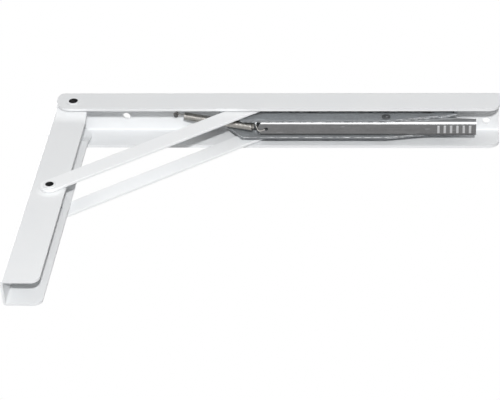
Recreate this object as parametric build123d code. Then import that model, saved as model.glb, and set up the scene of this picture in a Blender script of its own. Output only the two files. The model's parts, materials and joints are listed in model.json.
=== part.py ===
"""Folding shelf bracket.

A wall channel carries an arm on two hollow rivets, and a pair of strut bars holds the arm out.
The bars' upper ends ride on a cross pin in the slots of a guide channel under the arm. A sprung
release lever inside the guide holds the pin at the wall end of its slots.

Frame, in millimetres: X out from the wall, Y across the bracket, Z up. The origin is on the wall
face, at the middle screw hole. Modelled with the arm out.
"""

import os
from math import atan2, cos, degrees, radians, sin, sqrt

from build123d import *

# Placing
SHELF_HEIGHT = 120.0          # shelf face above the middle wall screw
PIVOT_FROM_WALL = 13.5        # both pivots of the wall channel
PIVOT_BELOW_SHELF = 13.0      # arm pivot, and the line that the cross pin slides on
STRUT_PIVOT_DROP = 98.0       # strut pivot below the arm pivot
PIN_REACH = 124.0             # cross pin from the arm pivot, arm out
FOLD_ANGLE = 89.0             # how far the arm folds down
FLAT_GAP = 0.3                # between flat faces that pass each other
SEAT_GAP = 0.1                # under the rivet heads of moving pieces
PIN_FIT = 0.05                # radial play of every pin in its hole

# Arm
ARM_LENGTH = 300.0
ARM_WIDTH = 31.0
ARM_DEPTH = 22.5
ARM_SHEET = 2.0
ARM_BEND = 1.0                # inner bend radius
ARM_WALL_GAP = 2.0            # arm's end to the wall
ARM_LOWER_CORNER = 8.0        # free end
ARM_WALL_LOWER_CORNER = 11.0
ARM_WALL_UPPER_CORNER = 8.0   # the web is cut back as far
SHELF_HOLE_R = 2.5
SHELF_HOLE_INNER = (45.0, 2.7)     # from the arm's wall end, and off its middle
SHELF_HOLE_OUTER = (8.5, 6.5)      # from the arm's free end, and off its middle

# Wall channel
WALL_LENGTH = 210.0           # shelf face to the channel's lower end
WALL_DEPTH = 23.4
WALL_SHEET = 1.5
WALL_BEND = 0.8
WALL_LOWER_CORNER = 5.5
EAR_CORNER = 9.9              # round top of the ears, about the arm pivot
EAR_TOP_CLEARANCE = 1.1       # ears to the arm's web
EAR_BACK_CORNER = 5.0         # the web stops as far below the ears' tops
JOGGLE_TOP_DROP = 4.5         # below the arm pivot
JOGGLE_HEIGHT = 9.0
JOGGLE_BEND = 20.0
WALL_SCREW_END = 20.0         # lowest screw hole to the channel's lower end
WALL_SCREW_COUNT = 3
WALL_SCREW_R = 2.75
BOSS_HEIGHT = 1.0
BOSS_TOP_R = 6.6
BOSS_BASE_R = 9.8

# Strut bars
STRUT_WIDTH = 12.5
STRUT_SHEET = 2.0
STRUT_ARM_GAP = 1.1           # strut bars to the arm's sides, with room for the rivet heads

# Guide channel
GUIDE_DEPTH = 22.3
GUIDE_SHEET = 1.5
GUIDE_BEND = 0.8
GUIDE_START = 98.0            # from the arm pivot, at the web
GUIDE_BEVEL_RUN = 17.3        # slant of the wall end, along the arm
GUIDE_BEVEL_CORNER = 4.0
GUIDE_TAPER_START = 213.5     # from the arm pivot, at the lower edge
GUIDE_TAPER_RISE = 8.1
GUIDE_TAPER_BEND = 25.0
GUIDE_END_WALL = 2.0          # metal past the slot
GUIDE_RIVET_R = 2.0
GUIDE_RIVET_HEAD_R = 3.2
GUIDE_RIVET_HEAD = 0.9        # inside the guide; the other end is flush with the arm's web
GUIDE_RIVET_SPOTS = (109.0, 240.0)     # from the arm pivot

# Cross pin
CROSS_PIN_R = 2.0
SPACER_R = 4.2

# Release lever
LEVER_SHEET = 1.5
LEVER_BEND = 1.0
LEVER_RECESS = 0.7            # lever's web above the guide's lower edge
LEVER_PIN_GAP = 3.0           # lever's side walls to the cross pin
LEVER_TONGUE = 2.5            # web's tongue beyond the side walls
LEVER_TONGUE_CHAMFER = 3.5
LEVER_END = 272.5             # pressed end, from the arm pivot
LEVER_END_WALL = 4.3          # side wall height at the pressed end
LEVER_STEP_X = 257.5          # where the side walls start to fall, from the arm pivot
LEVER_STEP_WALL = 5.8
LEVER_PIVOT_X = 212.6         # from the arm pivot
LEVER_PIVOT_BELOW_SHELF = 20.2
LEVER_PIVOT_WALL = 7.1        # side wall height over the pivot
LEVER_PIN_R = 1.6
LEVER_PIN_HEAD_R = 2.9
LEVER_PIN_HEAD = 0.7
LEVER_ANGLE = 2.0             # how far the lever swings
SPRING_HOLE_R = 1.3
SPRING_HOLE_INSET = 5.3       # from the tongue's end
GRIP_COUNT = 6
GRIP_PITCH = 4.2
GRIP_LENGTH = 5.6
GRIP_WIDTH = 1.6
GRIP_HEIGHT = 0.4
GRIP_INSET = 4.0              # from the pressed end

# Hollow rivets
ARM_RIVET_R = 3.9
ARM_RIVET_BORE_R = 3.0
ARM_RIVET_HEAD_R = 4.6
STRUT_RIVET_R = 3.4
STRUT_RIVET_BORE_R = 2.6
STRUT_RIVET_HEAD_R = 4.2
RIVET_HEAD = 0.5
RIVET_TAIL = 0.4              # past the inner face of the wall channel's side

# Spring and its post
SPRING_R = 2.7
SPRING_WIRE = 1.0
SPRING_POST_X = 68.5          # from the arm pivot
SPRING_POST_R = 1.0
SPRING_POST_HEAD_R = 1.5
SPRING_POST_HEAD = 0.6
SPRING_POST_DROP = 3.3        # below the arm's web
SPRING_BODY_START = (74.4, 6.3)        # from the arm pivot, and below the shelf face
SPRING_BODY_END = (123.0, 20.9)
SPRING_HOOK_GAP = 0.3

# Worked out from the sizes above
ARM_START = ARM_WALL_GAP
ARM_PIVOT_Z = SHELF_HEIGHT - PIVOT_BELOW_SHELF
STRUT_PIVOT_Z = ARM_PIVOT_Z - STRUT_PIVOT_DROP
PIN_X = PIVOT_FROM_WALL + PIN_REACH
STRUT_LENGTH = sqrt(PIN_REACH**2 + STRUT_PIVOT_DROP**2)
FOLD = radians(FOLD_ANGLE)
PIN_FOLDED_REACH = STRUT_PIVOT_DROP * sin(FOLD) + sqrt(
    STRUT_LENGTH**2 - (STRUT_PIVOT_DROP * cos(FOLD)) ** 2
)
PIN_TRAVEL = PIN_FOLDED_REACH - PIN_REACH
ARM_INNER_Y = ARM_WIDTH / 2 - ARM_SHEET
ARM_WEB_Z = SHELF_HEIGHT - ARM_SHEET
STRUT_OUTER_Y = ARM_INNER_Y - STRUT_ARM_GAP
STRUT_INNER_Y = STRUT_OUTER_Y - STRUT_SHEET
WALL_OUTER_Y = STRUT_INNER_Y - FLAT_GAP - BOSS_HEIGHT
WALL_SCREW_SPACING = (WALL_LENGTH - SHELF_HEIGHT - WALL_SCREW_END) / (WALL_SCREW_COUNT // 2)
GUIDE_OUTER_Y = WALL_OUTER_Y - WALL_SHEET - FLAT_GAP
WALL_BOTTOM_Z = SHELF_HEIGHT - WALL_LENGTH
EAR_OUTER_Y = ARM_INNER_Y - FLAT_GAP
EAR_TOP_Z = ARM_WEB_Z - EAR_TOP_CLEARANCE
WALL_WEB_TOP_Z = EAR_TOP_Z - EAR_BACK_CORNER
WALL_SIDE_X = WALL_SHEET + WALL_BEND
JOGGLE_TOP_Z = ARM_PIVOT_Z - JOGGLE_TOP_DROP
JOGGLE_BOTTOM_Z = JOGGLE_TOP_Z - JOGGLE_HEIGHT
GUIDE_INNER_Y = GUIDE_OUTER_Y - GUIDE_SHEET
GUIDE_BOTTOM_Z = ARM_WEB_Z - GUIDE_DEPTH
GUIDE_WEB_Z = ARM_WEB_Z - GUIDE_SHEET
GUIDE_START_X = PIVOT_FROM_WALL + GUIDE_START
SLOT_END_X = PIVOT_FROM_WALL + PIN_FOLDED_REACH
SLOT_R = CROSS_PIN_R + PIN_FIT
GUIDE_END_X = SLOT_END_X + SLOT_R + GUIDE_END_WALL
LEVER_OUTER_Y = GUIDE_INNER_Y - FLAT_GAP
LEVER_BOTTOM_Z = GUIDE_BOTTOM_Z + LEVER_RECESS
LEVER_WEB_Z = LEVER_BOTTOM_Z + LEVER_SHEET
LEVER_WALL_X = PIN_X + CROSS_PIN_R + LEVER_PIN_GAP
LEVER_START_X = LEVER_WALL_X - LEVER_TONGUE
LEVER_END_X = PIVOT_FROM_WALL + LEVER_END
LEVER_CATCH_Z = ARM_PIVOT_Z - CROSS_PIN_R - FLAT_GAP
LEVER_PIVOT = (PIVOT_FROM_WALL + LEVER_PIVOT_X, SHELF_HEIGHT - LEVER_PIVOT_BELOW_SHELF)
SPRING_HOLE_X = LEVER_START_X + SPRING_HOLE_INSET


def u_section(width, depth, sheet, bend):
    """U-shaped sheet section, web at local y = 0 and sides down to local y = -depth."""
    outer = Pos(0, -depth / 2) * Rectangle(width, depth)
    outer = fillet(outer.vertices().group_by(Axis.Y)[-1], bend + sheet)
    inner = Pos(0, -(depth + sheet) / 2) * Rectangle(width - 2 * sheet, depth - sheet)
    inner = fillet(inner.vertices().group_by(Axis.Y)[-1], bend)
    return outer - inner


def side_outline(corners, half_width):
    """Solid across Y from (x, z, corner radius) triples, to trim a folded channel with."""
    face = Plane.XZ * make_face(Polyline(*[(x, z) for x, z, _ in corners], close=True))
    for x, z, radius in corners:
        if radius > 0:
            corner = face.vertices().sort_by_distance(Vector(x, 0, z))[0]
            face = fillet(corner, radius)
    return extrude(face, half_width, both=True)


def cross_hole(x, z, radius, inner_y=-50.0, outer_y=50.0):
    """Round cutter or pin along Y, between two Y values."""
    middle = (inner_y + outer_y) / 2
    return Pos(x, middle, z) * Rot(90, 0, 0) * Cylinder(radius, outer_y - inner_y)


def rear_of(front):
    """The same piece on the other side of the bracket."""
    return mirror(front, about=Plane.XZ)


def hollow_rivet(x, z, radius, bore, head_radius, inner_y, outer_y):
    """Front hollow rivet: body between two distances from the middle, with a head outside."""
    body = cross_hole(x, z, radius, -outer_y, -inner_y)
    head = cross_hole(x, z, head_radius, -outer_y - RIVET_HEAD, -outer_y)
    return body + head - cross_hole(x, z, bore)


def build_arm():
    section = u_section(ARM_WIDTH, ARM_DEPTH, ARM_SHEET, ARM_BEND)
    arm = extrude(Plane((ARM_START, 0, SHELF_HEIGHT), (0, 1, 0), (1, 0, 0)) * section, ARM_LENGTH)
    left, right = ARM_START, ARM_START + ARM_LENGTH
    bottom = SHELF_HEIGHT - ARM_DEPTH
    arm &= side_outline(
        [
            (left, bottom, ARM_WALL_LOWER_CORNER),
            (right, bottom, ARM_LOWER_CORNER),
            (right, SHELF_HEIGHT, 0),
            (left, SHELF_HEIGHT, ARM_WALL_UPPER_CORNER),
        ],
        ARM_WIDTH,
    )
    web_thick = ARM_SHEET + ARM_BEND
    arm -= Pos(left, 0, SHELF_HEIGHT - web_thick / 2) * Box(
        2 * ARM_WALL_UPPER_CORNER, 2 * ARM_INNER_Y, web_thick
    )
    arm -= cross_hole(PIVOT_FROM_WALL, ARM_PIVOT_Z, ARM_RIVET_R + PIN_FIT)
    inner_hole = (left + SHELF_HOLE_INNER[0], SHELF_HOLE_INNER[1])
    outer_hole = (right - SHELF_HOLE_OUTER[0], SHELF_HOLE_OUTER[1])
    for x, y in (inner_hole, outer_hole):
        arm -= Pos(x, y, SHELF_HEIGHT) * Cylinder(SHELF_HOLE_R, 4 * ARM_SHEET)
    arm -= Pos(PIVOT_FROM_WALL + SPRING_POST_X, 0, SHELF_HEIGHT) * Cylinder(
        SPRING_POST_R + PIN_FIT, 4 * ARM_SHEET
    )
    for spot in GUIDE_RIVET_SPOTS:
        arm -= Pos(PIVOT_FROM_WALL + spot, 0, SHELF_HEIGHT) * Cylinder(
            GUIDE_RIVET_R + PIN_FIT, 4 * ARM_SHEET
        )
    return arm


def build_wall_channel():
    section = u_section(2 * WALL_OUTER_Y, WALL_DEPTH, WALL_SHEET, WALL_BEND)
    base = Plane((0, 0, WALL_BOTTOM_Z), (0, 1, 0), (0, 0, 1))
    channel = extrude(base * section, WALL_WEB_TOP_Z - WALL_BOTTOM_Z)
    side_top = Box(WALL_DEPTH, ARM_WIDTH, WALL_LENGTH, align=(Align.MIN, Align.CENTER, Align.MIN))
    channel -= Pos(WALL_SIDE_X, 0, JOGGLE_BOTTOM_Z) * side_top
    front_ear = build_ear()
    channel += front_ear
    channel += rear_of(front_ear)
    channel &= side_outline(
        [
            (0, WALL_BOTTOM_Z, 0),
            (WALL_DEPTH, WALL_BOTTOM_Z, WALL_LOWER_CORNER),
            (WALL_DEPTH, EAR_TOP_Z, EAR_CORNER),
            (0, EAR_TOP_Z, EAR_BACK_CORNER),
        ],
        ARM_WIDTH,
    )
    front_boss = build_boss()
    channel += front_boss
    channel += rear_of(front_boss)
    dish_y = WALL_OUTER_Y - WALL_SHEET + BOSS_HEIGHT
    channel -= cross_hole(PIVOT_FROM_WALL, STRUT_PIVOT_Z, BOSS_TOP_R, -dish_y, dish_y)
    channel -= cross_hole(PIVOT_FROM_WALL, ARM_PIVOT_Z, ARM_RIVET_R + PIN_FIT)
    channel -= cross_hole(PIVOT_FROM_WALL, STRUT_PIVOT_Z, STRUT_RIVET_R + PIN_FIT)
    first = -(WALL_SCREW_COUNT - 1) / 2
    for index in range(WALL_SCREW_COUNT):
        z = (first + index) * WALL_SCREW_SPACING
        channel -= Pos(0, 0, z) * Rot(0, 90, 0) * Cylinder(WALL_SCREW_R, 4 * WALL_SHEET)
    return channel


def build_ear():
    """Front ear: the channel's side carries on up, stepped out towards the arm's side."""
    low, high = WALL_OUTER_Y, EAR_OUTER_Y
    start = JOGGLE_BOTTOM_Z - JOGGLE_HEIGHT / 2
    centre = FilletPolyline(
        (-low + WALL_SHEET / 2, start),
        (-low + WALL_SHEET / 2, JOGGLE_BOTTOM_Z),
        (-high + WALL_SHEET / 2, JOGGLE_TOP_Z),
        (-high + WALL_SHEET / 2, EAR_TOP_Z),
        radius=JOGGLE_BEND,
    )
    strip = offset(centre, WALL_SHEET / 2, side=Side.BOTH)
    face = Plane((WALL_SIDE_X, 0, 0), (0, 1, 0), (1, 0, 0)) * make_face(strip)
    return extrude(face, WALL_DEPTH - WALL_SIDE_X)


def build_boss():
    """Front round emboss at the strut pivot."""
    cone = Cone(BOSS_BASE_R, BOSS_TOP_R, BOSS_HEIGHT)
    middle_y = -WALL_OUTER_Y - BOSS_HEIGHT / 2
    return Pos(PIVOT_FROM_WALL, middle_y, STRUT_PIVOT_Z) * Rot(90, 0, 0) * cone


def build_front_strut():
    rise, run = STRUT_PIVOT_DROP, PIN_REACH
    middle = (PIVOT_FROM_WALL + run / 2, -STRUT_INNER_Y, STRUT_PIVOT_Z + rise / 2)
    slope = atan2(rise, run)
    plane = Plane(middle, (cos(slope), 0, sin(slope)), (0, -1, 0))
    bar = extrude(plane * SlotCenterToCenter(STRUT_LENGTH, STRUT_WIDTH), STRUT_SHEET)
    bar -= cross_hole(PIVOT_FROM_WALL, STRUT_PIVOT_Z, STRUT_RIVET_R + PIN_FIT)
    bar -= cross_hole(PIN_X, ARM_PIVOT_Z, CROSS_PIN_R + PIN_FIT)
    return bar


def build_guide():
    section = u_section(2 * GUIDE_OUTER_Y, GUIDE_DEPTH, GUIDE_SHEET, GUIDE_BEND)
    length = GUIDE_END_X - GUIDE_START_X
    plane = Plane((GUIDE_START_X, 0, ARM_WEB_Z), (0, 1, 0), (1, 0, 0))
    guide = extrude(plane * section, length)
    guide &= side_outline(
        [
            (GUIDE_START_X, ARM_WEB_Z, 0),
            (GUIDE_START_X + GUIDE_BEVEL_RUN, GUIDE_BOTTOM_Z, GUIDE_BEVEL_CORNER),
            (PIVOT_FROM_WALL + GUIDE_TAPER_START, GUIDE_BOTTOM_Z, GUIDE_TAPER_BEND),
            (GUIDE_END_X, GUIDE_BOTTOM_Z + GUIDE_TAPER_RISE, 0),
            (GUIDE_END_X, ARM_WEB_Z, 0),
        ],
        ARM_WIDTH,
    )
    slot = Plane((PIN_X + PIN_TRAVEL / 2, 0, ARM_PIVOT_Z), (1, 0, 0), (0, -1, 0))
    slot = slot * SlotCenterToCenter(PIN_TRAVEL, 2 * SLOT_R)
    guide -= extrude(slot, ARM_WIDTH, both=True)
    guide -= cross_hole(*LEVER_PIVOT, LEVER_PIN_R + PIN_FIT)
    for spot in GUIDE_RIVET_SPOTS:
        guide -= Pos(PIVOT_FROM_WALL + spot, 0, GUIDE_WEB_Z) * Cylinder(
            GUIDE_RIVET_R + PIN_FIT, 4 * GUIDE_SHEET
        )
    return guide


def build_guide_rivet(spot):
    """Rivet that holds the guide's web to the arm's web."""
    length = SHELF_HEIGHT - GUIDE_WEB_Z
    shank = Pos(0, 0, SHELF_HEIGHT - length / 2) * Cylinder(GUIDE_RIVET_R, length)
    head_z = GUIDE_WEB_Z - GUIDE_RIVET_HEAD / 2
    head = Pos(0, 0, head_z) * Cylinder(GUIDE_RIVET_HEAD_R, GUIDE_RIVET_HEAD)
    return Pos(PIVOT_FROM_WALL + spot, 0, 0) * (shank + head)


def build_lever():
    depth = LEVER_CATCH_Z - LEVER_BOTTOM_Z
    section = u_section(2 * LEVER_OUTER_Y, depth, LEVER_SHEET, LEVER_BEND)
    plane = Plane((LEVER_START_X, 0, LEVER_BOTTOM_Z), (0, -1, 0), (1, 0, 0))
    lever = extrude(plane * section, LEVER_END_X - LEVER_START_X)
    pivot_x, pivot_z = LEVER_PIVOT
    lever &= side_outline(
        [
            (LEVER_START_X, LEVER_BOTTOM_Z, 0),
            (LEVER_END_X, LEVER_BOTTOM_Z, 0),
            (LEVER_END_X, LEVER_BOTTOM_Z + LEVER_END_WALL, 0),
            (PIVOT_FROM_WALL + LEVER_STEP_X, LEVER_BOTTOM_Z + LEVER_STEP_WALL, 0),
            (pivot_x, LEVER_BOTTOM_Z + LEVER_PIVOT_WALL, 0),
            (LEVER_WALL_X, LEVER_CATCH_Z, 0),
            (LEVER_WALL_X, LEVER_WEB_Z + LEVER_BEND, 0),
            (LEVER_START_X, LEVER_WEB_Z, 0),
        ],
        ARM_WIDTH,
    )
    for side in (-1, 1):
        corner = Plane.XY * make_face(
            Polyline(
                (LEVER_START_X - LEVER_TONGUE, side * (LEVER_OUTER_Y - LEVER_TONGUE_CHAMFER)),
                (LEVER_START_X, side * (LEVER_OUTER_Y - LEVER_TONGUE_CHAMFER)),
                (LEVER_WALL_X, side * LEVER_OUTER_Y),
                (LEVER_WALL_X, side * ARM_WIDTH),
                (LEVER_START_X - LEVER_TONGUE, side * ARM_WIDTH),
                close=True,
            )
        )
        lever -= extrude(corner, 2 * SHELF_HEIGHT, both=True)
    lever -= cross_hole(pivot_x, pivot_z, LEVER_PIN_R + PIN_FIT)
    lever -= Pos(SPRING_HOLE_X, 0, LEVER_BOTTOM_Z) * Cylinder(SPRING_HOLE_R, 4 * LEVER_SHEET)
    for index in range(GRIP_COUNT):
        x = LEVER_END_X - GRIP_INSET - index * GRIP_PITCH
        rib = Box(GRIP_WIDTH, GRIP_LENGTH, GRIP_HEIGHT)
        lever += Pos(x, 0, LEVER_BOTTOM_Z - GRIP_HEIGHT / 2) * rib
    return lever


def build_lever_pin():
    x, z = LEVER_PIVOT
    reach = GUIDE_OUTER_Y + SEAT_GAP
    pin = cross_hole(x, z, LEVER_PIN_R, -reach, reach)
    for side in (-1, 1):
        ends = sorted((side * reach, side * (reach + LEVER_PIN_HEAD)))
        pin += cross_hole(x, z, LEVER_PIN_HEAD_R, *ends)
    return pin


def build_front_spacer():
    inner_y, outer_y = GUIDE_OUTER_Y + FLAT_GAP, STRUT_INNER_Y - FLAT_GAP
    ring = cross_hole(PIN_X, ARM_PIVOT_Z, SPACER_R, -outer_y, -inner_y)
    return ring - cross_hole(PIN_X, ARM_PIVOT_Z, CROSS_PIN_R + PIN_FIT)


def build_front_pin_end():
    """The cross pin's formed end in the strut's eye, held by the strut."""
    end = cross_hole(PIN_X, ARM_PIVOT_Z, CROSS_PIN_R, -STRUT_OUTER_Y, -STRUT_INNER_Y)
    return end + cross_hole(
        PIN_X, ARM_PIVOT_Z, SPACER_R, -STRUT_OUTER_Y - RIVET_HEAD, -STRUT_OUTER_Y
    )


def build_spring_post():
    x = PIVOT_FROM_WALL + SPRING_POST_X
    bottom = ARM_WEB_Z - SPRING_POST_DROP
    shank = Pos(x, 0, (SHELF_HEIGHT + bottom) / 2) * Cylinder(SPRING_POST_R, SHELF_HEIGHT - bottom)
    head = Pos(x, 0, bottom - SPRING_POST_HEAD / 2) * Cylinder(SPRING_POST_HEAD_R, SPRING_POST_HEAD)
    return shank + head


def build_spring():
    """Close-wound body as a round bar, an eye round the post and a hook to the lever."""
    wire_r = SPRING_WIRE / 2
    start = Vector(PIVOT_FROM_WALL + SPRING_BODY_START[0], 0, SHELF_HEIGHT - SPRING_BODY_START[1])
    end = Vector(PIVOT_FROM_WALL + SPRING_BODY_END[0], 0, SHELF_HEIGHT - SPRING_BODY_END[1])
    body = Cylinder(SPRING_R, (end - start).length)
    spring = Plane((start + end) / 2, x_dir=(0, 1, 0), z_dir=(end - start).normalized()) * body

    post_x = PIVOT_FROM_WALL + SPRING_POST_X
    eye_z = SHELF_HEIGHT - SPRING_BODY_START[1] + SPRING_R - SPRING_WIRE
    eye_r = SPRING_POST_R + SPRING_HOOK_GAP
    eye = Cylinder(eye_r + SPRING_WIRE, SPRING_WIRE) - Cylinder(eye_r, SPRING_WIRE)
    spring += Pos(post_x, 0, eye_z) * eye
    spring += wire_along((post_x + eye_r + wire_r, 0, eye_z), (start.X + SPRING_R / 2, 0, eye_z))

    web_low = LEVER_BOTTOM_Z - SPRING_HOOK_GAP - wire_r
    spring += wire_along(
        (end.X - SPRING_WIRE, 0, end.Z - SPRING_R / 2),
        (end.X + SPRING_WIRE, 0, web_low),
        (SPRING_HOLE_X, 0, web_low),
        (SPRING_HOLE_X, 0, LEVER_WEB_Z + SPRING_WIRE),
    )
    return spring


def wire_along(*points):
    """Wire of eight flats through the points."""
    path = Polyline(*points)
    section = Plane(path @ 0, z_dir=path % 0) * RegularPolygon(SPRING_WIRE / 2, 8)
    return sweep(section, path, transition=Transition.RIGHT)


def build_parts():
    arm_rivet = hollow_rivet(
        PIVOT_FROM_WALL,
        ARM_PIVOT_Z,
        ARM_RIVET_R,
        ARM_RIVET_BORE_R,
        ARM_RIVET_HEAD_R,
        EAR_OUTER_Y - WALL_SHEET - RIVET_TAIL,
        ARM_WIDTH / 2 + SEAT_GAP,
    )
    strut_rivet = hollow_rivet(
        PIVOT_FROM_WALL,
        STRUT_PIVOT_Z,
        STRUT_RIVET_R,
        STRUT_RIVET_BORE_R,
        STRUT_RIVET_HEAD_R,
        WALL_OUTER_Y + BOSS_HEIGHT - WALL_SHEET - RIVET_TAIL,
        STRUT_OUTER_Y + SEAT_GAP,
    )
    front_strut = build_front_strut()
    front_spacer = build_front_spacer()
    front_pin_end = build_front_pin_end()
    pin_half = STRUT_INNER_Y - FLAT_GAP
    return {
        "arm_channel": build_arm(),
        "wall_channel": build_wall_channel(),
        "strut_bar_front": front_strut,
        "strut_bar_rear": rear_of(front_strut),
        "arm_pivot_rivet_front": arm_rivet,
        "arm_pivot_rivet_rear": rear_of(arm_rivet),
        "strut_pivot_rivet_front": strut_rivet,
        "strut_pivot_rivet_rear": rear_of(strut_rivet),
        "guide_channel": build_guide(),
        "guide_rivet_inner": build_guide_rivet(GUIDE_RIVET_SPOTS[0]),
        "guide_rivet_outer": build_guide_rivet(GUIDE_RIVET_SPOTS[1]),
        "cross_pin": cross_hole(PIN_X, ARM_PIVOT_Z, CROSS_PIN_R, -pin_half, pin_half),
        "spacer_front": front_spacer,
        "spacer_rear": rear_of(front_spacer),
        "cross_pin_end_front": front_pin_end,
        "cross_pin_end_rear": rear_of(front_pin_end),
        "release_lever": build_lever(),
        "lever_pivot_pin": build_lever_pin(),
        "lever_spring": build_spring(),
        "spring_post": build_spring_post(),
    }


def main():
    os.makedirs("parts", exist_ok=True)
    for name, part in build_parts().items():
        export_step(part, f"parts/{name}.step")
    swing = degrees(atan2(STRUT_PIVOT_DROP, PIN_REACH))
    print(f"strut {STRUT_LENGTH:.2f} long at {swing:.2f} degrees, pin travel {PIN_TRAVEL:.3f}")


if __name__ == "__main__":
    main()
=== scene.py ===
"""Looks of the folding shelf bracket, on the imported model. Lengths are in metres."""

import json
from math import cos, pi, radians, sin, tan

import bmesh
import bpy
from mathutils import Matrix, Vector


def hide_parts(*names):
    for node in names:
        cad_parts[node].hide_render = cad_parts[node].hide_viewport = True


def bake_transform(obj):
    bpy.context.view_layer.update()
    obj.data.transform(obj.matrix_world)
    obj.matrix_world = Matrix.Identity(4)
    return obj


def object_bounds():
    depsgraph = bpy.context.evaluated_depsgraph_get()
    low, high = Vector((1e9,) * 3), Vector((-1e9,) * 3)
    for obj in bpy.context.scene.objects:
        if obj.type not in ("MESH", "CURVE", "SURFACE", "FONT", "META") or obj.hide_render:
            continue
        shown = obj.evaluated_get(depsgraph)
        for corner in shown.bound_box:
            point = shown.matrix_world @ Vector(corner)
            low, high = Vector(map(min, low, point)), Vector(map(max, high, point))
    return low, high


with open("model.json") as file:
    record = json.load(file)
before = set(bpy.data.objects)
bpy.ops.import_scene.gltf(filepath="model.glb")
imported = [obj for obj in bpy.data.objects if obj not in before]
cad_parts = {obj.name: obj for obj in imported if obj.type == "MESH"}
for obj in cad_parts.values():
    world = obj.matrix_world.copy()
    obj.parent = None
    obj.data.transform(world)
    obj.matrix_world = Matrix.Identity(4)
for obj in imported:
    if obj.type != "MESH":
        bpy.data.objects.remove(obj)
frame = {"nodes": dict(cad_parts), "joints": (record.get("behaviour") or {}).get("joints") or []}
NODES = frame["nodes"]
JOINTS = {joint["name"]: joint for joint in frame["joints"]}
CAD_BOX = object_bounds()
MM = 0.001

ARM_PIVOT = Vector(JOINTS["arm_fold"]["pos_m"])
STRUT_PIVOT = Vector(JOINTS["strut_swing"]["pos_m"])
LEVER_PIVOT = Vector(JOINTS["release"]["pos_m"])
ARM_RIVET_BORE = 3.0 * MM                         # radii of the hollow rivets
STRUT_RIVET_BORE = 2.6 * MM
LEVER_BOTTOM_Z = 96.4 * MM                        # underside of the lever's web

# Spring, from the post in the arm's web to the hole in the lever's web
SPRING_START = Vector((87.9, 0, 113.7)) * MM      # middle of the close-wound body's wall end
SPRING_END = Vector((136.5, 0, 99.1)) * MM
SPRING_R = 2.7 * MM
WIRE_R = 0.45 * MM
TURN_SLACK = 1.04                                 # pitch over the wire's thickness
TURN_STEPS = 16
SPRING_EYE = Vector((82.0, 0, 115.4)) * MM        # middle of the eye round the post
SPRING_EYE_R = 1.5 * MM
EYE_START = radians(40)
EYE_SWEEP = radians(320)
EYE_STEPS = 18
HOOK_R = 0.30 * MM                                # thinner, to clear the wall channel when folded
HOOK_GAP = 0.02 * MM
HOOK_LINE = (                                     # x, y, and height over the wire's lowest place
    (138.7, -1.8, 1.7),
    (139.35, 0.0, 0.5),
    (140.5, 1.1, 0.06),
    (142.5, 0.9, 0.0),
    (144.1, 0.2, 0.1),
    (144.5, -0.1, 1.2),
    (144.6, -0.1, 2.5),
)

# Camera, lamps and floor
CAMERA_PLACE = Vector((0.2462, -0.6410, -0.9391))
CAMERA_TURN = radians(9.31)       # to the left of the bracket's front
CAMERA_RISE = radians(55.64)      # looking up
CAMERA_ROLL = radians(7.95)
LENS = 130.3
LAMP_DISTANCE = 1.6
KEY_SIZE = 0.06
KEY_POWER = 22.4
KEY_ABOVE_CAMERA = radians(8)
KEY_RIGHT_OF_CAMERA = radians(1.5)
SOFT_LAMPS = {                    # direction from the bracket, size and power
    "back": (Vector((-0.4, 1.0, 0.7)), 1.2, 16.0),
    "top": (Vector((-0.9, 0.2, 1.0)), 0.8, 12.0),
    "front": (Vector((0.1, -1.0, -0.25)), 1.2, 2.2),
}
AMBIENT = 0.262                   # world light on the bracket
FLOOR_DROP = 3.2                  # below the lamps and every camera that looks up
FLOOR_REACH = 60
FLOOR_GLOW = 0.6                  # what the floor shows beyond the light that falls on it

# Paint and metal
PAINT_LOW = (0.81, 0.823, 0.835)
PAINT_HIGH = (0.83, 0.84, 0.847)
BAR_PAINTED_LIGHT = 0.08                   # painted light: the strut bars' paint is made lighter than the same white elsewhere
DUST = (0.66, 0.67, 0.68, 1)
BLACK = (0, 0, 0)
LIGHT = (1, 1, 1)
PATCH_LOW, PATCH_HIGH = 0.3, 0.7  # where a cloudy noise starts and ends its change of tone
CLOUD_SCALE = 38.0
DUST_SCALE = 2600.0
PEEL_SCALE = 900.0                # orange peel of the powder coat
STEEL_SCALE = 700.0
SPANGLE_SCALE = 900.0
ROLLING_LINES = (60.0, 2400.0, 2400.0)    # scales of noises that are drawn out along the arm
SCUFFS = (90.0, 1500.0, 1500.0)
HIGHLIGHT_BREAKS = (260.0, 1500.0, 1500.0)
GUIDE_EDGE_TOP = 113 * MM         # cut edges are picked out in grey and painted highlights below this, short of the guide's web
GUIDE_HIGHLIGHT_OUTER = 6.8 * MM        # beyond this, off the middle, slanted cut edges get the painted highlight too
GUIDE_HIGHLIGHT_INNER = 6.2 * MM        # within this all of them get it


# --- small helpers -----------------------------------------------------------------------------

def link(obj):
    bpy.context.scene.collection.objects.link(obj)
    return obj


def tube(bm, path, sides=8):
    """Closed round tube along a path of (point, radius)."""
    points = [point for point, radius in path]
    rings = []
    across = None
    for i, point in enumerate(points):
        ahead = points[min(i + 1, len(points) - 1)]
        behind = points[max(i - 1, 0)]
        along = (ahead - behind).normalized()
        if across is None:
            across = along.orthogonal()
        across = (across - along * across.dot(along)).normalized()
        up = along.cross(across)
        ring = []
        for k in range(sides):
            angle = 2 * pi * k / sides
            ring.append(bm.verts.new(point + path[i][1] * (cos(angle) * across + sin(angle) * up)))
        rings.append(ring)
    for one, two in zip(rings, rings[1:]):
        for k in range(sides):
            bm.faces.new((one[k], one[(k + 1) % sides], two[(k + 1) % sides], two[k]))
    bm.faces.new(rings[0])
    bm.faces.new(rings[-1])


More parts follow.
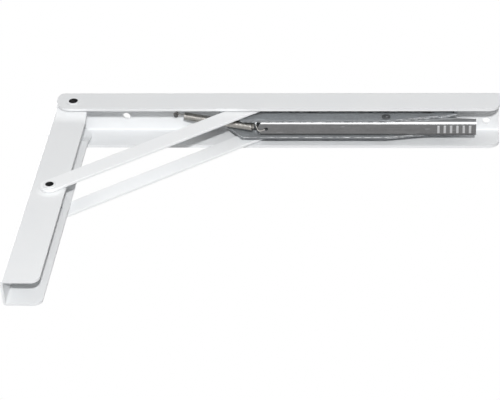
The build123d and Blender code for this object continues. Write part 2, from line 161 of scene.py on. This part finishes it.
def smooth_line(corners, steps):
    """Points on a smooth line through the corners."""
    ends = [2 * corners[0] - corners[1]] + list(corners) + [2 * corners[-1] - corners[-2]]
    points = []
    for before, one, two, after in zip(ends, ends[1:], ends[2:], ends[3:]):
        for k in range(steps):
            t = k / steps
            points.append(0.5 * (
                2 * one
                + (two - before) * t
                + (2 * before - 5 * one + 4 * two - after) * t ** 2
                + (3 * one - before - 3 * two + after) * t ** 3
            ))
    return points + [corners[-1]]


# --- materials ---------------------------------------------------------------------------------

class Nodes:
    """A node material around one Principled shader."""

    def __init__(self, name, **values):
        self.material = bpy.data.materials.new(name)
        self.material.use_nodes = True
        self.tree = self.material.node_tree
        self.shader = self.tree.nodes["Principled BSDF"]
        for key, value in values.items():
            self.shader.inputs[key.replace("_", " ")].default_value = value
        self.place = self.add("ShaderNodeTexCoord").outputs["Object"]

    def add(self, kind, links=(), **settings):
        node = self.tree.nodes.new(kind)
        for key, value in settings.items():
            setattr(node, key, value)
        for socket, source in dict(links).items():
            if isinstance(source, bpy.types.NodeSocket):
                self.tree.links.new(source, node.inputs[socket])
            else:
                node.inputs[socket].default_value = source
        return node

    def stretch(self, scale):
        return self.add("ShaderNodeMapping", {"Vector": self.place, "Scale": scale}).outputs[0]

    def axis(self, name):
        return self.add("ShaderNodeSeparateXYZ", {"Vector": self.place}).outputs[name]

    def facing(self):
        """Parts of the surface's direction."""
        normal = self.add("ShaderNodeTexCoord").outputs["Normal"]
        return self.add("ShaderNodeSeparateXYZ", {"Vector": normal}).outputs

    def noise(self, scale, detail, vector=None):
        links = {"Vector": vector or self.place, "Scale": scale, "Detail": detail}
        return self.add("ShaderNodeTexNoise", links).outputs["Fac"]

    def ramp(self, fac, low, high, a, b):
        """Colour a up to low, b from high on."""
        node = self.add("ShaderNodeValToRGB", {"Fac": fac})
        for stop, position, colour in zip(node.color_ramp.elements, (low, high), (a, b)):
            stop.position = position
            stop.color = (*colour, 1)
        return node.outputs[0]

    def span(self, value, a, b, low=0.0, high=1.0):
        """Value from low to high as a number from a to b."""
        links = {"Value": value, "From Min": low, "From Max": high, "To Min": a, "To Max": b}
        return self.add("ShaderNodeMapRange", links).outputs[0]

    def mix(self, fac, a, b):
        node = self.add("ShaderNodeMix", data_type="RGBA")
        for socket, source in ((node.inputs[0], fac), (node.inputs[6], a), (node.inputs[7], b)):
            if isinstance(source, bpy.types.NodeSocket):
                self.tree.links.new(source, socket)
            else:
                socket.default_value = source
        return node.outputs[2]

    def math(self, operation, a, b=0.0):
        return self.add("ShaderNodeMath", {0: a, 1: b}, operation=operation).outputs[0]

    def near_axis(self, centre, radius, blur):
        """1 within the radius of a crosswise axis through centre, 0 outside it."""
        flat = self.add("ShaderNodeMapping", {
            "Vector": self.place, "Location": -centre, "Scale": (1, 0, 1),
        }).outputs[0]
        away = self.add("ShaderNodeVectorMath", {0: flat}, operation="LENGTH").outputs["Value"]
        return self.span(away, 1.0, 0.0, radius, radius + blur)

    def finish(self, colour, roughness=None, height=None, bump=0.0, distance=0.0):
        """The material, with these links into its shader, and bumps from the height."""
        for name, source in (("Base Color", colour), ("Roughness", roughness)):
            if source is not None:
                self.tree.links.new(source, self.shader.inputs[name])
        if height is not None:
            links = {"Height": height, "Strength": bump, "Distance": distance}
            normal = self.add("ShaderNodeBump", links).outputs[0]
            self.tree.links.new(normal, self.shader.inputs["Normal"])
        return self.material


def paint_colour(n, cloud, painted_light=0.0):
    """White with faint clouds and a few specks of dust, made lighter by any painted light given.
    """
    low, high = ([value + painted_light for value in tone] for tone in (PAINT_LOW, PAINT_HIGH))
    colour = n.ramp(cloud, PATCH_LOW, PATCH_HIGH, low, high)
    specks = n.ramp(n.noise(DUST_SCALE, 1.0), 0.70, 0.80, BLACK, LIGHT)
    return n.mix(n.math("MULTIPLY", specks, 0.25), colour, DUST)


def powder_coat(name, painted_light=0.0):
    n = Nodes(name)
    cloud = n.noise(CLOUD_SCALE, 4.0)
    peel = n.noise(PEEL_SCALE, 2.0)
    return n.finish(paint_colour(n, cloud, painted_light), n.span(cloud, 0.36, 0.48), peel, 0.12, 0.05 * MM)


def painted_rivet(name, centre, bore):
    """White paint on the head; unpainted steel in the bore, darkened to near black as painted
    shade.
    """
    n = Nodes(name)
    cloud = n.noise(CLOUD_SCALE, 4.0)
    inside = n.near_axis(centre, bore + 0.05 * MM, 0.15 * MM)
    scale = n.noise(PEEL_SCALE, 3.0)
    # the bore's unpainted steel, made near black as painted shade of the deep bore
    bare_and_shaded = n.ramp(scale, PATCH_LOW, PATCH_HIGH, (0.004, 0.004, 0.005), (0.016, 0.016, 0.018))
    colour = n.mix(inside, paint_colour(n, cloud), bare_and_shaded)
    return n.finish(colour, n.span(inside, 0.42, 0.6), scale, 0.1, 0.05 * MM)


def zinc_colour(n, dark, light):
    """Colour, tone and rolling lines of galvanised sheet: fine spangle, lines along X, scuffs."""
    cells = n.add("ShaderNodeTexVoronoi", {"Vector": n.place, "Scale": SPANGLE_SCALE})
    spangle = n.add("ShaderNodeSeparateColor", {"Color": cells.outputs["Color"]}).outputs[0]
    lines = n.noise(1.0, 3.0, n.stretch(ROLLING_LINES))
    cloud = n.noise(55.0, 3.0)
    tone = n.math("ADD", n.math("MULTIPLY", spangle, 0.15), n.math("MULTIPLY", lines, 0.6))
    tone = n.math("ADD", tone, n.math("MULTIPLY", cloud, 0.25))
    scuffs = n.ramp(n.noise(1.0, 2.0, n.stretch(SCUFFS)), 0.70, 0.78, BLACK, LIGHT)
    colour = n.ramp(tone, PATCH_LOW, PATCH_HIGH, dark, light)
    colour = n.mix(n.math("MULTIPLY", scuffs, 0.35), colour, (0.85, 0.87, 0.88, 1))
    return colour, tone, lines


def zinc_finish(n, colour, tone, lines, roughness):
    return n.finish(colour, n.span(tone, roughness, roughness + 0.16), lines, 0.18, 0.04 * MM)


def guide_zinc():
    """Galvanised sheet whose lower cut edges are grey, with broken painted highlights along their
    borders.
    """
    n = Nodes("guide_zinc", Metallic=0.6)
    colour, tone, lines = zinc_colour(n, (0.46, 0.48, 0.5), (0.63, 0.66, 0.68))
    facing = n.facing()
    cut = n.span(n.math("ABSOLUTE", facing["Y"]), 1.0, 0.0, 0.4, 0.7)
    low = n.span(n.axis("Z"), 1.0, 0.0, GUIDE_EDGE_TOP, GUIDE_EDGE_TOP + MM)
    cut = n.math("MULTIPLY", cut, low)
    colour = n.mix(cut, colour, (0.2, 0.21, 0.22, 1))
    # painted highlight: broken bright lines along the cut edges' borders, where their burrs catch
    # the lamp
    out = n.math("ABSOLUTE", n.axis("Y"))
    slanted = n.span(n.math("ABSOLUTE", facing["X"]), 0.0, 1.0, 0.05, 0.1)
    outer = n.span(out, 0.0, 1.0, GUIDE_HIGHLIGHT_OUTER, GUIDE_HIGHLIGHT_OUTER + 0.2 * MM)
    outer = n.math("MULTIPLY", outer, slanted)
    inner = n.span(out, 1.0, 0.0, GUIDE_HIGHLIGHT_INNER, GUIDE_HIGHLIGHT_INNER + 0.3 * MM)
    bright = n.math("MULTIPLY", cut, n.math("MAXIMUM", inner, outer))
    broken = n.noise(1.0, 3.0, n.stretch(HIGHLIGHT_BREAKS))
    bright = n.math("MULTIPLY", bright, n.span(broken, 0.0, 0.75, 0.42, 0.6))
    colour = n.mix(bright, colour, (0.92, 0.94, 0.95, 1))
    return zinc_finish(n, colour, tone, lines, 0.22)


def lever_zinc():
    """Darker sheet, rubbed bright on the ribs' crests, with painted light on the sides, a painted
    highlight along the front bend and painted shade on the rear bend.
    """
    n = Nodes("lever_zinc", Metallic=0.75)
    colour, tone, lines = zinc_colour(n, (0.155, 0.155, 0.157), (0.215, 0.215, 0.217))
    crests = n.span(n.axis("Z"), 1.0, 0.0, LEVER_BOTTOM_Z - 0.2 * MM, LEVER_BOTTOM_Z - 0.1 * MM)
    colour = n.mix(n.math("MULTIPLY", crests, 0.5), colour, (0.9, 0.91, 0.92, 1))
    crosswise = n.facing()["Y"]
    # painted light: the sides are made lighter, and the front bend gets a painted highlight where
    # the lamp falls on it
    sides = n.span(n.math("ABSOLUTE", crosswise), 0.0, 0.55, 0.85, 0.97)
    front_bend_highlight = n.span(crosswise, 0.6, 0.0, -0.5, -0.2)
    colour = n.mix(n.math("MAXIMUM", sides, front_bend_highlight), colour, (0.62, 0.63, 0.64, 1))
    # painted shade: the rear bend, turned away from the lamp, is darkened
    rear_bend_shade = n.span(crosswise, 0.0, 0.6, 0.1, 0.3)
    rear_bend_shade = n.math("MULTIPLY", rear_bend_shade, n.span(crosswise, 1.0, 0.0, 0.8, 0.9))
    colour = n.mix(rear_bend_shade, colour, (0.05, 0.05, 0.052, 1))
    return zinc_finish(n, colour, tone, lines, 0.27)


def pin_head():
    """Dull rivet with a painted highlight, a bright spot near the middle of each head."""
    n = Nodes("pin_head", Metallic=0.8)
    cloud = n.noise(STEEL_SCALE, 3.0)
    dull = n.ramp(cloud, PATCH_LOW, PATCH_HIGH, (0.20, 0.205, 0.21), (0.30, 0.305, 0.31))
    # painted highlight: a bright spot low on each head's middle, where the domed head catches the
    # lamp
    painted_glint = n.near_axis(LEVER_PIVOT + Vector((0.4, 0, -0.6)) * MM, 0.4 * MM, 0.6 * MM)
    colour = n.mix(painted_glint, dull, (0.75, 0.75, 0.76, 1))
    return n.finish(colour, n.span(cloud, 0.35, 0.5), cloud, 0.1, 0.03 * MM)


def turned_steel(name, dark, light, roughness=0.3):
    n = Nodes(name, Metallic=1.0)
    cloud = n.noise(STEEL_SCALE, 3.0)
    colour = n.ramp(cloud, PATCH_LOW, PATCH_HIGH, dark, light)
    return n.finish(colour, n.span(cloud, roughness, roughness + 0.15), cloud, 0.1, 0.03 * MM)


# --- camera, light and floor -------------------------------------------------------------------

def camera_axes():
    """Right, up and backward axes of the camera."""
    level = cos(CAMERA_RISE)
    ahead = Vector((-sin(CAMERA_TURN) * level, cos(CAMERA_TURN) * level, sin(CAMERA_RISE)))
    right = ahead.cross(Vector((0, 0, 1))).normalized()
    up = right.cross(ahead)
    return (
        cos(CAMERA_ROLL) * right + sin(CAMERA_ROLL) * up,
        cos(CAMERA_ROLL) * up - sin(CAMERA_ROLL) * right,
        -ahead,
    )


def make_camera():
    data = bpy.data.cameras.new("camera")
    data.lens = LENS
    data.sensor_width = 36.0
    data.clip_start = 0.01
    camera = link(bpy.data.objects.new("camera", data))
    turn = Matrix(camera_axes()).transposed().to_4x4()
    camera.matrix_world = Matrix.Translation(CAMERA_PLACE) @ turn
    bpy.context.scene.camera = camera


def area_light(name, direction, size, power):
    """Square softbox in a direction from the bracket's middle, facing it."""
    target = (Vector(CAD_BOX[0]) + Vector(CAD_BOX[1])) / 2
    data = bpy.data.lights.new(name, "AREA")
    data.size = size
    data.energy = power
    lamp = link(bpy.data.objects.new(name, data))
    lamp.location = target + direction.normalized() * LAMP_DISTANCE
    lamp.rotation_euler = (-direction).to_track_quat("-Z", "Y").to_euler()


def seen_share(tree):
    """1 for rays from the camera and for what gloss and glass show, 0 for light on surfaces."""
    path = tree.nodes.new("ShaderNodeLightPath")
    share = path.outputs["Is Camera Ray"]
    for name in ("Is Glossy Ray", "Is Transmission Ray"):
        either = tree.nodes.new("ShaderNodeMath")
        either.operation = "MAXIMUM"
        tree.links.new(share, either.inputs[0])
        tree.links.new(path.outputs[name], either.inputs[1])
        share = either.outputs[0]
    return share


def make_light():
    """A small key lamp near the camera, three soft lamps, and a white world."""
    right, up, back = camera_axes()
    aim = back + up * tan(KEY_ABOVE_CAMERA) + right * tan(KEY_RIGHT_OF_CAMERA)
    area_light("key", aim, KEY_SIZE, KEY_POWER)
    for name, (direction, size, power) in SOFT_LAMPS.items():
        area_light(name, direction, size, power)
    world = bpy.data.worlds.new("world")
    bpy.context.scene.world = world
    world.use_nodes = True
    tree = world.node_tree
    lit = tree.nodes["Background"]
    lit.inputs["Color"].default_value = (1, 1, 1, 1)
    lit.inputs["Strength"].default_value = AMBIENT
    seen = tree.nodes.new("ShaderNodeBackground")
    seen.inputs["Color"].default_value = (1, 1, 1, 1)
    seen.inputs["Strength"].default_value = 1.0
    mix = tree.nodes.new("ShaderNodeMixShader")
    tree.links.new(seen_share(tree), mix.inputs[0])
    tree.links.new(lit.outputs[0], mix.inputs[1])
    tree.links.new(seen.outputs[0], mix.inputs[2])
    tree.links.new(mix.outputs[0], tree.nodes["World Output"].inputs["Surface"])


def make_floor():
    """Pale floor, below the camera, which looks up at the bracket."""
    n = Nodes("pale_floor", Roughness=0.8)
    grain = n.noise(30.0, 2.0)
    material = n.finish(n.ramp(grain, PATCH_LOW, PATCH_HIGH, (0.86, 0.86, 0.86), (0.9, 0.9, 0.9)))
    n.shader.inputs["Emission Color"].default_value = (1, 1, 1, 1)
    glow = n.math("MULTIPLY", seen_share(n.tree), FLOOR_GLOW)
    n.tree.links.new(glow, n.shader.inputs["Emission Strength"])
    height = CAD_BOX[0][2] - FLOOR_DROP
    sides = ((-1, -1), (1, -1), (1, 1), (-1, 1))
    corners = [(x * FLOOR_REACH, y * FLOOR_REACH, height) for x, y in sides]
    mesh = bpy.data.meshes.new("floor")
    mesh.from_pydata(corners, [], [(0, 1, 2, 3)])
    floor = link(bpy.data.objects.new("floor", mesh))
    mesh.materials.append(material)


# --- CAD nodes ---------------------------------------------------------------------------------

def nodes_named(*parts):
    return [name for name in NODES if any(part in name for part in parts)]


def dress(names, material, edge=0.0):
    """Material, softened edges and smooth bends on CAD nodes."""
    for name in names:
        obj = NODES[name]
        obj.data.materials.clear()
        obj.data.materials.append(material)
        weld = obj.modifiers.new("weld", "WELD")
        weld.merge_threshold = 0.001 * MM
        flat = obj.modifiers.new("flat", "DECIMATE")
        flat.decimate_type = "DISSOLVE"
        flat.angle_limit = radians(0.3)
        if edge:
            bevel = obj.modifiers.new("edge", "BEVEL")
            bevel.width = edge
            bevel.segments = 2
            bevel.limit_method = "ANGLE"
            bevel.angle_limit = radians(40)
        even = obj.modifiers.new("even", "WEIGHTED_NORMAL")
        even.weight = 100
        obj.data.shade_smooth()


# --- spring ------------------------------------------------------------------------------------

def spring_line():
    """The spring's wire: eye round the post, close-wound body, hook into the lever's hole."""
    along = (SPRING_END - SPRING_START).normalized()
    side = Vector((0, 1, 0))
    top = along.cross(side)
    reach = SPRING_R - WIRE_R
    length = (SPRING_END - SPRING_START).length - 2 * WIRE_R
    turns = round(length / (2 * WIRE_R * TURN_SLACK)) + 0.25
    points = []
    for k in range(EYE_STEPS + 1):
        angle = EYE_START + EYE_SWEEP * k / EYE_STEPS
        points.append(SPRING_EYE + SPRING_EYE_R * Vector((cos(angle), sin(angle), 0)))
    neck = SPRING_EYE + Vector((SPRING_EYE_R + 0.9 * MM, 0.2 * MM, 0))
    first = SPRING_START + along * WIRE_R + reach * top
    points += smooth_line([neck, first - along * 1.6 * MM], 4)
    for k in range(int(turns * TURN_STEPS) + 1):
        angle = 2 * pi * k / TURN_STEPS
        step = along * (WIRE_R + length * k / (turns * TURN_STEPS))
        points.append(SPRING_START + step + reach * (cos(angle) * top - sin(angle) * side))
    low = Vector((0, 0, LEVER_BOTTOM_Z - HOOK_GAP - HOOK_R))
    hook = smooth_line([points[-1]] + [low + Vector(corner) * MM for corner in HOOK_LINE], 6)
    return [(point, WIRE_R) for point in points] + [(point, HOOK_R) for point in hook[1:]]


def make_spring(material):
    """Wire spring between the arm and the lever, in place of the plain solid."""
    bm = bmesh.new()
    tube(bm, spring_line())
    bmesh.ops.recalc_face_normals(bm, faces=bm.faces)
    mesh = bpy.data.meshes.new("lever_spring_wire")
    bm.to_mesh(mesh)
    bm.free()
    mesh.shade_smooth()
    mesh.materials.append(material)
    spring = link(bpy.data.objects.new("lever_spring_wire", mesh))
    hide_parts("lever_spring")
    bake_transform(spring)


bpy.context.scene.view_settings.view_transform = "Standard"
make_camera()
make_light()
make_floor()

white = powder_coat("white_powder_coat")
# the strut bars' coat: the same white, made lighter as painted light
bar_white_lit = powder_coat("white_bar_coat_painted_light", BAR_PAINTED_LIGHT)
arm_rivet = painted_rivet("arm_rivet_paint", ARM_PIVOT, ARM_RIVET_BORE)
strut_rivet = painted_rivet("strut_rivet_paint", STRUT_PIVOT, STRUT_RIVET_BORE)
steel = turned_steel("zinc_steel", (0.32, 0.32, 0.32), (0.5, 0.5, 0.5))
dark_steel = turned_steel("post_steel", (0.1, 0.1, 0.1), (0.17, 0.17, 0.17))
wire = turned_steel("spring_wire", (0.4, 0.385, 0.36), (0.56, 0.545, 0.52), 0.34)

dress(("arm_channel", "wall_channel"), white, 0.25 * MM)
dress(("strut_bar_front", "strut_bar_rear"), bar_white_lit, 0.3 * MM)
dress(nodes_named("arm_pivot_rivet"), arm_rivet, 0.1 * MM)
dress(nodes_named("strut_pivot_rivet"), strut_rivet, 0.1 * MM)
dress(("guide_channel",), guide_zinc(), 0.2 * MM)
dress(("release_lever",), lever_zinc(), 0.15 * MM)
dress(nodes_named("guide_rivet", "spacer", "cross_pin"), steel)
dress(("spring_post",), dark_steel)
dress(("lever_pivot_pin",), pin_head())
make_spring(wire)
